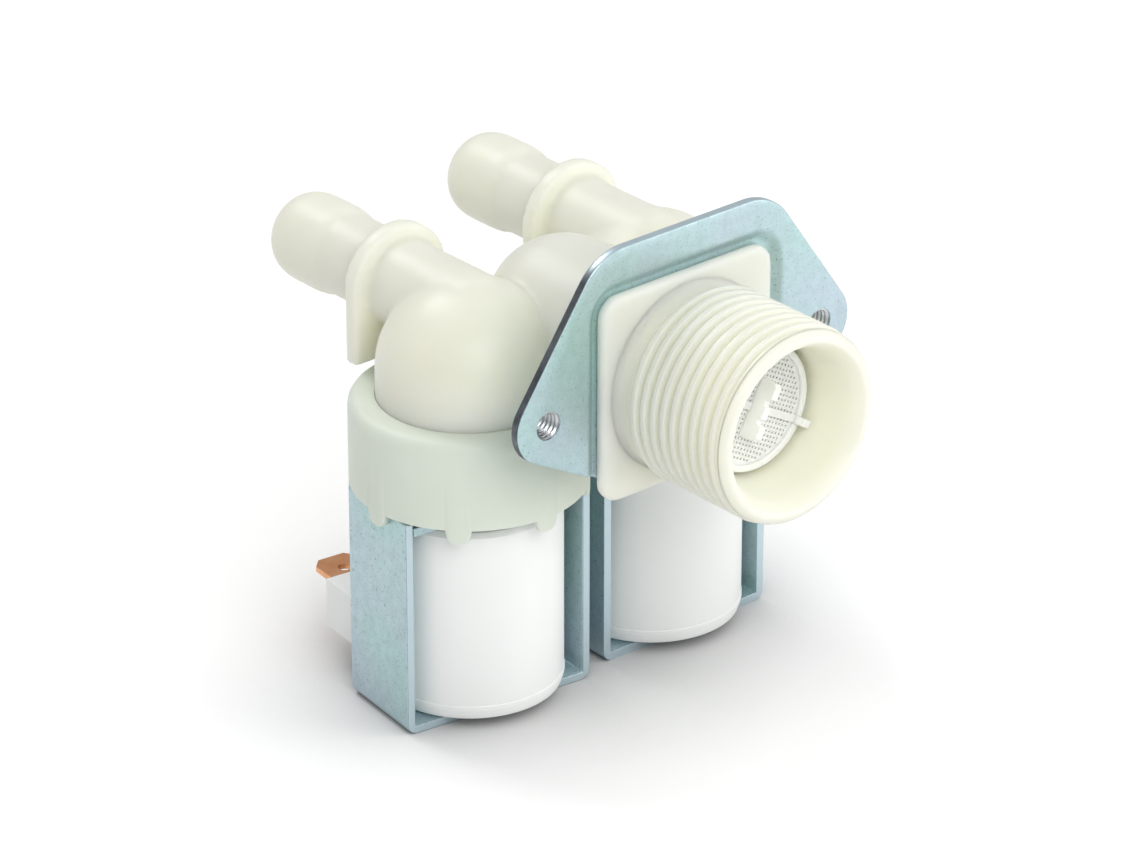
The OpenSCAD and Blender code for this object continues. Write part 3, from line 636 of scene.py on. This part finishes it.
def thread_radius(h, a):
    """Radius at height h and angle a: root plus depth times a crest with rounded flanks, whose phase is
    h / pitch - a / turn, scaled by a ramp that is 1 along the thread and 0 outside it."""
    turn = h / THREAD_PITCH - a / (2 * np.pi)
    wave = np.abs(2 * np.mod(turn, 1) - 1)
    crest = np.clip((wave - 0.22) / 0.46, 0, 1)
    crest = crest * crest * (3 - 2 * crest)
    ramp = np.clip((h - THREAD_FROM) / 1.3, 0, 1) * np.clip((THREAD_TO - h) / 0.5, 0, 1)
    return THREAD_R - THREAD_DEPTH + THREAD_DEPTH * crest * ramp


def inlet_points(turns=216, rows=260):
    """Grid of the stub: outside from the flange to the mouth, round the rim, and back along the bore."""
    a = np.linspace(0, 2 * np.pi, turns, endpoint=False)[:, None]
    h = np.linspace(1.3, 20.3, rows)[None, :]
    lead = np.clip((h - 19.35) / 0.35, 0, 1)
    outside = thread_radius(h, a) * (1 - lead) + LEAD_R * lead
    root_r = THREAD_R - THREAD_DEPTH
    root = round_corner((16, 0.35), (root_r, 0.35), (root_r, 4.0), 0.9, 6)[:-1]
    first = np.array([(STEP_R, -0.4), (13.0, -0.4), (13.3, 0.35)] + root)
    last = np.array(rounded(
        [(LEAD_R, 20.3), (LEAD_R, 20.45), (12.1, REACH), (11.35, REACH), (BORE_R + 0.75, REACH - 1.9),
         (BORE_R, REACH - 6.5), (BORE_R, STEP_H), (STEP_R, STEP_H), (STEP_R, -0.4)],
        [0, 0.3, 0.35, 0.35, 0.8, 1.5, 0.2, 0.2, 0], closed=False)[1:])
    radius = np.concatenate([np.broadcast_to(first[:, 0], (turns, len(first))), outside,
                             np.broadcast_to(last[:, 0], (turns, len(last)))], axis=1)
    height = np.concatenate([first[:, 1], h[0], last[:, 1]])
    return np.stack([radius * np.cos(a), np.broadcast_to(-height, radius.shape), radius * np.sin(a)], axis=-1) * MM


inlet = grid_mesh("inlet_thread", inlet_points(), close_u=True, close_v=True)
outward(inlet, 50)
add_piece("inlet_thread", inlet, "housing", ivory)
print("thread:", len(inlet.polygons), "faces")

# %% [markdown]
# The filter is a disc of square mesh in a flat rim, with one rib across it and a fin for the pliers.
# The mesh is a mask of small squares: a square is solid where it belongs to a bar or lies outside the
# holes' circle. Each solid square gives a top and a bottom face, and a wall stands between a solid and
# an empty square.

# %% The inlet filter
FILTER_H = 12.8
MESH_PITCH, MESH_HOLE, MESH_T = 0.62, 0.3, 0.4
FILTER_TURN = math.radians(29)
RIM_R, RIM_W = 8.62, 0.85


def mesh_disc(radius):
    """Disc of square mesh, as solid squares of a mask. Its lines stand at k * pitch - hole / 2 and
    k * pitch + hole / 2, so that bars and holes take turns."""
    k = np.arange(-14, 15) * MESH_PITCH
    lines = np.sort(np.concatenate([k - MESH_HOLE / 2, k + MESH_HOLE / 2]))
    middle = (lines[:-1] + lines[1:]) / 2
    hole = np.arange(len(middle)) % 2 == 0
    far = np.hypot(*np.meshgrid(middle, middle, indexing="ij"))
    rib = np.abs(middle)[None, :] < 0.55
    solid = (far < radius) & ~(hole[:, None] & hole[None, :] & ~rib & (far < radius - 0.5))
    n = len(lines)
    i, j = np.nonzero(solid)
    low = lambda i, j: i * n + j
    high = lambda i, j: n * n + i * n + j
    faces = [np.stack([low(i, j), low(i, j + 1), low(i + 1, j + 1), low(i + 1, j)], 1),
             np.stack([high(i, j), high(i + 1, j), high(i + 1, j + 1), high(i, j + 1)], 1)]
    padded = np.pad(solid, 1)
    for di, dj, p, q in ((-1, 0, (0, 0), (0, 1)), (1, 0, (1, 1), (1, 0)), (0, -1, (1, 0), (0, 0)), (0, 1, (0, 1), (1, 1))):
        i, j = np.nonzero(solid & ~padded[1 + di:1 + di + solid.shape[0], 1 + dj:1 + dj + solid.shape[1]])
        a, b = (i + p[0], j + p[1]), (i + q[0], j + q[1])
        faces.append(np.stack([low(*a), low(*b), high(*b), high(*a)], 1))
    x, z = np.meshgrid(lines, lines, indexing="ij")
    points = [np.stack([x, np.full_like(x, -h), z], -1).reshape(-1, 3) for h in (FILTER_H - MESH_T, FILTER_H)]
    return np.concatenate(points) * MM, np.concatenate(faces)


def fin_rings(outline, thickness, x_middle):
    """Prism of an outline in (y, z): two copies of it, thickness apart along X."""
    outline = np.asarray(outline, float)
    return [np.column_stack([np.full(len(outline), x_middle + s * thickness / 2), outline]) * MM for s in (-1, 1)]


def add_prism(bm, rings):
    """Closes two equal rings of points with side faces and two caps."""
    low, high = [[bm.verts.new(p) for p in ring] for ring in rings]
    n = len(low)
    for k in range(n):
        bm.faces.new((low[k], low[(k + 1) % n], high[(k + 1) % n], high[k]))
    bm.faces.new(low[::-1])
    bm.faces.new(high)


def box_rings(x0, x1, y0, y1, z0, z1):
    """Two rings of four points, the ends of a box along X, in mm."""
    return [np.array([(x, y0, z0), (x, y1, z0), (x, y1, z1), (x, y0, z1)]) * MM for x in (x0, x1)]


points, faces = mesh_disc(RIM_R - RIM_W + 0.1)
bm = bmesh.new()
flat = bpy.data.meshes.new("flat")
flat.from_pydata(points.tolist(), [], faces.tolist())
bm.from_mesh(flat)
loose = [v for v in bm.verts if not v.link_faces]
bmesh.ops.delete(bm, geom=loose, context="VERTS")
front = -FILTER_H - 0.35
fin = [(front + 0.3, -3.9), (front - 2.2, -3.9), (front - 2.6, -3.4), (front - 2.6, -1.9), (front - 1.7, -1.6),
       (front - 1.7, -1.2), (front - 2.2, -0.9), (front - 2.2, 0.6), (front - 1.7, 0.9), (front - 1.7, 1.5),
       (front - 2.6, 1.9), (front - 2.6, 3.4), (front - 2.2, 3.9), (front + 0.3, 3.9)]
add_prism(bm, fin_rings(fin, 1.0, -0.4))
add_prism(bm, box_rings(-RIM_R + 0.3, RIM_R - 0.2, front, -FILTER_H + 0.2, -0.5, 0.5))
add_prism(bm, box_rings(RIM_R - 1.0, RIM_R + 0.35, front - 1.5, front + 0.3, -0.5, 0.5))
rim = rounded([(RIM_R - RIM_W, FILTER_H - 0.6), (RIM_R - RIM_W, FILTER_H + 0.45), (RIM_R, FILTER_H + 0.45),
               (RIM_R, FILTER_H - 0.9), (BORE_R - 0.06, FILTER_H - 1.3), (BORE_R - 0.06, 6.5), (8.47, 6.5),
               (8.47, FILTER_H - 1.7)], [0, 0.12, 0.2, 0.1, 0.1, 0.1, 0, 0.1])
ring_mesh = grid_mesh("rim", lathe([(r, -h) for r, h in rim[:-1]], 128, "y"), True, True)
bm.from_mesh(ring_mesh)
bmesh.ops.recalc_face_normals(bm, faces=bm.faces)
bmesh.ops.rotate(bm, verts=bm.verts, cent=(0, 0, 0), matrix=Matrix.Rotation(FILTER_TURN, 3, "Y"))
filter_mesh = bpy.data.meshes.new("inlet_filter_fine")
bm.to_mesh(filter_mesh)
bm.free()
filter_mesh.shade_smooth()
filter_mesh.set_sharp_from_angle(angle=math.radians(30))
add_piece("inlet_filter_fine", filter_mesh, "housing", filter_plastic, "inlet_filter")
print("filter:", len(filter_mesh.polygons), "faces")

# %% [markdown]
# The two holes in the ears are tapped. Each gets a thin sleeve whose inner wall carries the same kind of
# helical wave as the hose thread, with the pitch of a machine screw.

# %% Tapped holes
SCREW_R, SCREW_X, SCREW_PITCH, SCREW_DEPTH = 1.95, 23.1, 0.7, 3.3


def tapped_points(sign, turns=48, rows=60):
    """Grid of a sleeve: up the threaded inner wall and back along the outer wall, which lies in the
    plate. The inner radius is R - 0.28 * (1 + cos(2 pi (h / pitch - a / turn))) / 2."""
    a = np.linspace(0, 2 * np.pi, turns, endpoint=False)[:, None]
    h = np.linspace(0.15, SCREW_DEPTH, rows)[None, :]
    inner = SCREW_R - 0.14 * (1 + np.cos(2 * np.pi * h / SCREW_PITCH - a))
    radius = np.concatenate([inner, np.full((turns, 2), SCREW_R + 0.04)], axis=1)
    height = np.broadcast_to(np.concatenate([h[0], [SCREW_DEPTH, 0.15]]), radius.shape)
    return np.stack([sign * SCREW_X + radius * np.cos(a), height, radius * np.sin(a)], axis=-1) * MM


for side, sign in SIDES.items():
    mesh = grid_mesh("tapped_hole", tapped_points(sign), True, True)
    outward(mesh, 60)
    add_piece("tapped_hole_" + side, mesh, "housing", bright_steel)

# %% [markdown]
# The retaining rings are turned parts as well, but for the lugs along the lower edge. The lower edge is
# therefore a function of the angle: it drops by the height of a half round lug eight times a turn.

# %% Retaining rings
VALVE_Y = 24.4
HALF_PITCH = 15.8
RING_R, RING_TOP, RING_BOTTOM = 15.7, -6.6, -18.9
LUG_W, LUG_H, LUG_IN, LUGS = 3.3, 1.9, 1.1, 8
RING_BORE, LIP_R = 12.16, 10.6
BARREL_R, BARREL_END = 10.5, 23.7


def lug_drop(a):
    """Drop of the lower edge at angle a: a half circle under each lug, LUG_H deep."""
    nearest = np.round(a * LUGS / (2 * np.pi)) * 2 * np.pi / LUGS
    across = np.abs(a - nearest) * RING_R / (LUG_W / 2)
    return LUG_H * np.sqrt(np.clip(1 - np.clip(across, 0, 1) ** 3.2, 0, 1))


def ring_points(turns=512):
    """Grid of a ring: over the top, down the outside to the lugs, back inside them and up the bore.
    The loop that calls it pushes points inside the room of the barrel down to its underside."""
    a = np.linspace(0, 2 * np.pi, turns, endpoint=False)
    drop = lug_drop(a)[:, None]
    top = rounded([(RING_BORE, RING_TOP), (RING_R, RING_TOP), (RING_R, RING_BOTTOM)], [0, 1.7, 0], closed=False)
    top = np.array(profile_points(top[:-1], 1.0))
    inner = np.array([(RING_R - LUG_IN, RING_BOTTOM), (LIP_R + 0.2, RING_BOTTOM), (LIP_R, RING_BOTTOM + 0.2),
                      (LIP_R, RING_BOTTOM + 1.7), (RING_BORE, RING_BOTTOM + 1.7)])
    r_low = np.array([RING_R, RING_R - 0.05, RING_R - 0.25, RING_R - LUG_IN + 0.2, RING_R - LUG_IN])
    lift = np.array([0.35, 0.1, 0.0, 0.0, 0.2])
    radius = np.concatenate([np.broadcast_to(top[:, 0], (turns, len(top))), np.broadcast_to(r_low, (turns, 5)),
                             np.broadcast_to(inner[:, 0], (turns, len(inner)))], axis=1)
    height = np.concatenate([np.broadcast_to(top[:, 1], (turns, len(top))), RING_BOTTOM - drop + lift[None, :],
                             np.broadcast_to(inner[:, 1], (turns, len(inner)))], axis=1)
    return np.stack([radius * np.cos(a)[:, None], radius * np.sin(a)[:, None], height], axis=-1)


for side, sign in SIDES.items():
    points = ring_points() + np.array([sign * HALF_PITCH, VALVE_Y, 0])
    reach = BARREL_R + 0.3
    x, y, z = points[..., 0], points[..., 1], points[..., 2]
    inside = (x ** 2 + z ** 2 < reach ** 2) & (y < BARREL_END + 8)
    points[..., 2] = np.where(inside, -np.sqrt(np.maximum(reach ** 2 - x ** 2, 0)), z)
    mesh = grid_mesh("ring", points * MM, close_u=True, close_v=True)
    outward(mesh, 50)
    add_piece("ring_piece_" + side, mesh, "housing", ring_plastic, "retaining_ring_" + side)
print("rings with", LUGS, "lugs each")

# %% [markdown]
# Near its lower end each coil has a shallow step, where the flange of the bobbin shows through the
# moulding. A thin band on the same axis makes it.

# %% Band at the foot of the coils
COIL_R, COIL_BOTTOM = 12.3, -48.6
for side, sign in SIDES.items():
    band = [(COIL_R - 0.4, COIL_BOTTOM + 2.35), (COIL_R - 0.4, COIL_BOTTOM + 1.4), (COIL_R + 0.01, COIL_BOTTOM + 1.4),
            (COIL_R + 0.07, COIL_BOTTOM + 1.6), (COIL_R + 0.07, COIL_BOTTOM + 2.25), (COIL_R - 0.02, COIL_BOTTOM + 2.35)]
    mesh = grid_mesh("coil_band", lathe(band, 160, "z", (sign * HALF_PITCH, VALVE_Y, 0)), True, True)
    outward(mesh, 30)
    add_piece("coil_band_" + side, mesh, "housing", coil_plastic)

# %% [markdown]
# The floor and the light. The photograph stands on white with only a soft shadow, so the floor shows plain white to the
# camera and to mirror-like reflections, and keeps the shadow that the object casts, deepened by a painted contact
# shadow.

# %% Floor, world and lamps
def white_floor():
    """Diffuse white that also glows a little for camera and glossy rays, so that it reads white where nothing shades
    it. Both are taken down by a power of the ambient occlusion under the part, a painted contact shadow."""
    material = bpy.data.materials.new("paper")
    material.use_nodes = True
    n, link = material.node_tree.nodes, material.node_tree.links.new
    shader = n["Principled BSDF"]
    # Ambient occlusion darkens the floor's colour and glow under the part: a painted contact shadow.
    contact = n.new("ShaderNodeAmbientOcclusion")
    contact.inputs["Distance"].default_value = 32 * MM
    painted_contact_shadow = n.new("ShaderNodeMath")
    painted_contact_shadow.operation = "POWER"
    painted_contact_shadow.inputs[1].default_value = 1.4
    shade = n.new("ShaderNodeMix")
    shade.data_type = "RGBA"
    shade.inputs["A"].default_value = (0.35, 0.35, 0.35, 1)
    shade.inputs["B"].default_value = (0.86, 0.86, 0.86, 1)
    link(contact.outputs["AO"], painted_contact_shadow.inputs[0])
    link(painted_contact_shadow.outputs[0], shade.inputs["Factor"])
    link(shade.outputs["Result"], shader.inputs["Base Color"])
    shader.inputs["Roughness"].default_value = 0.9
    shader.inputs["Specular IOR Level"].default_value = 0.0
    path = n.new("ShaderNodeLightPath")
    seen = n.new("ShaderNodeMath")
    seen.operation = "MAXIMUM"
    glow = n.new("ShaderNodeMath")
    glow.operation = "MULTIPLY"
    glow.inputs[1].default_value = 0.26
    link(path.outputs["Is Camera Ray"], seen.inputs[0])
    link(path.outputs["Is Glossy Ray"], seen.inputs[1])
    lit = n.new("ShaderNodeMath")
    lit.operation = "MULTIPLY"
    link(seen.outputs[0], lit.inputs[0])
    link(painted_contact_shadow.outputs[0], lit.inputs[1])
    link(lit.outputs[0], glow.inputs[0])
    shader.inputs["Emission Color"].default_value = (1, 1, 1, 1)
    link(glow.outputs[0], shader.inputs["Emission Strength"])
    return material


floor_z = float(cad_low[2])
floor_mesh = bpy.data.meshes.new("floor")
half = 4.0
floor_mesh.from_pydata([(-half, -half, floor_z), (half, -half, floor_z), (half, half, floor_z),
                        (-half, half, floor_z)], [], [(0, 1, 2, 3)])
floor_mesh.materials.append(white_floor())
floor = bpy.data.objects.new("floor", floor_mesh)
bpy.context.collection.objects.link(floor)

world = bpy.data.worlds.new("studio")
world.use_nodes = True
bpy.context.scene.world = world
nodes, link = world.node_tree.nodes, world.node_tree.links.new
sky = nodes["Background"]
sky.inputs["Color"].default_value = (1, 1, 1, 1)
path = nodes.new("ShaderNodeLightPath")
level = nodes.new("ShaderNodeMapRange")
level.inputs["To Min"].default_value = 0.5
level.inputs["To Max"].default_value = 1.0
link(path.outputs["Is Camera Ray"], level.inputs["Value"])
link(level.outputs["Result"], sky.inputs["Strength"])


def soft_box(name, position, target, size, power):
    """Square area lamp at a position in mm, aimed at a target."""
    lamp = bpy.data.lights.new(name, "AREA")
    lamp.shape = "RECTANGLE"
    lamp.size, lamp.size_y = size[0] * MM, size[1] * MM
    lamp.energy = power
    holder = bpy.data.objects.new(name, lamp)
    bpy.context.collection.objects.link(holder)
    start, end = Vector(position) * MM, Vector(target) * MM
    aim = (start - end).to_track_quat("Z", "Y").to_matrix().to_4x4()
    aim.translation = start
    holder.matrix_world = aim


CENTRE = (0, 20, -10)
soft_box("key", (-190, -460, 400), CENTRE, (360, 360), 1.7)
soft_box("fill", (420, -380, 180), CENTRE, (400, 400), 1.2)
soft_box("back", (-40, 420, 480), CENTRE, (240, 240), 1.15)

bpy.context.scene.view_settings.view_transform = "Standard"
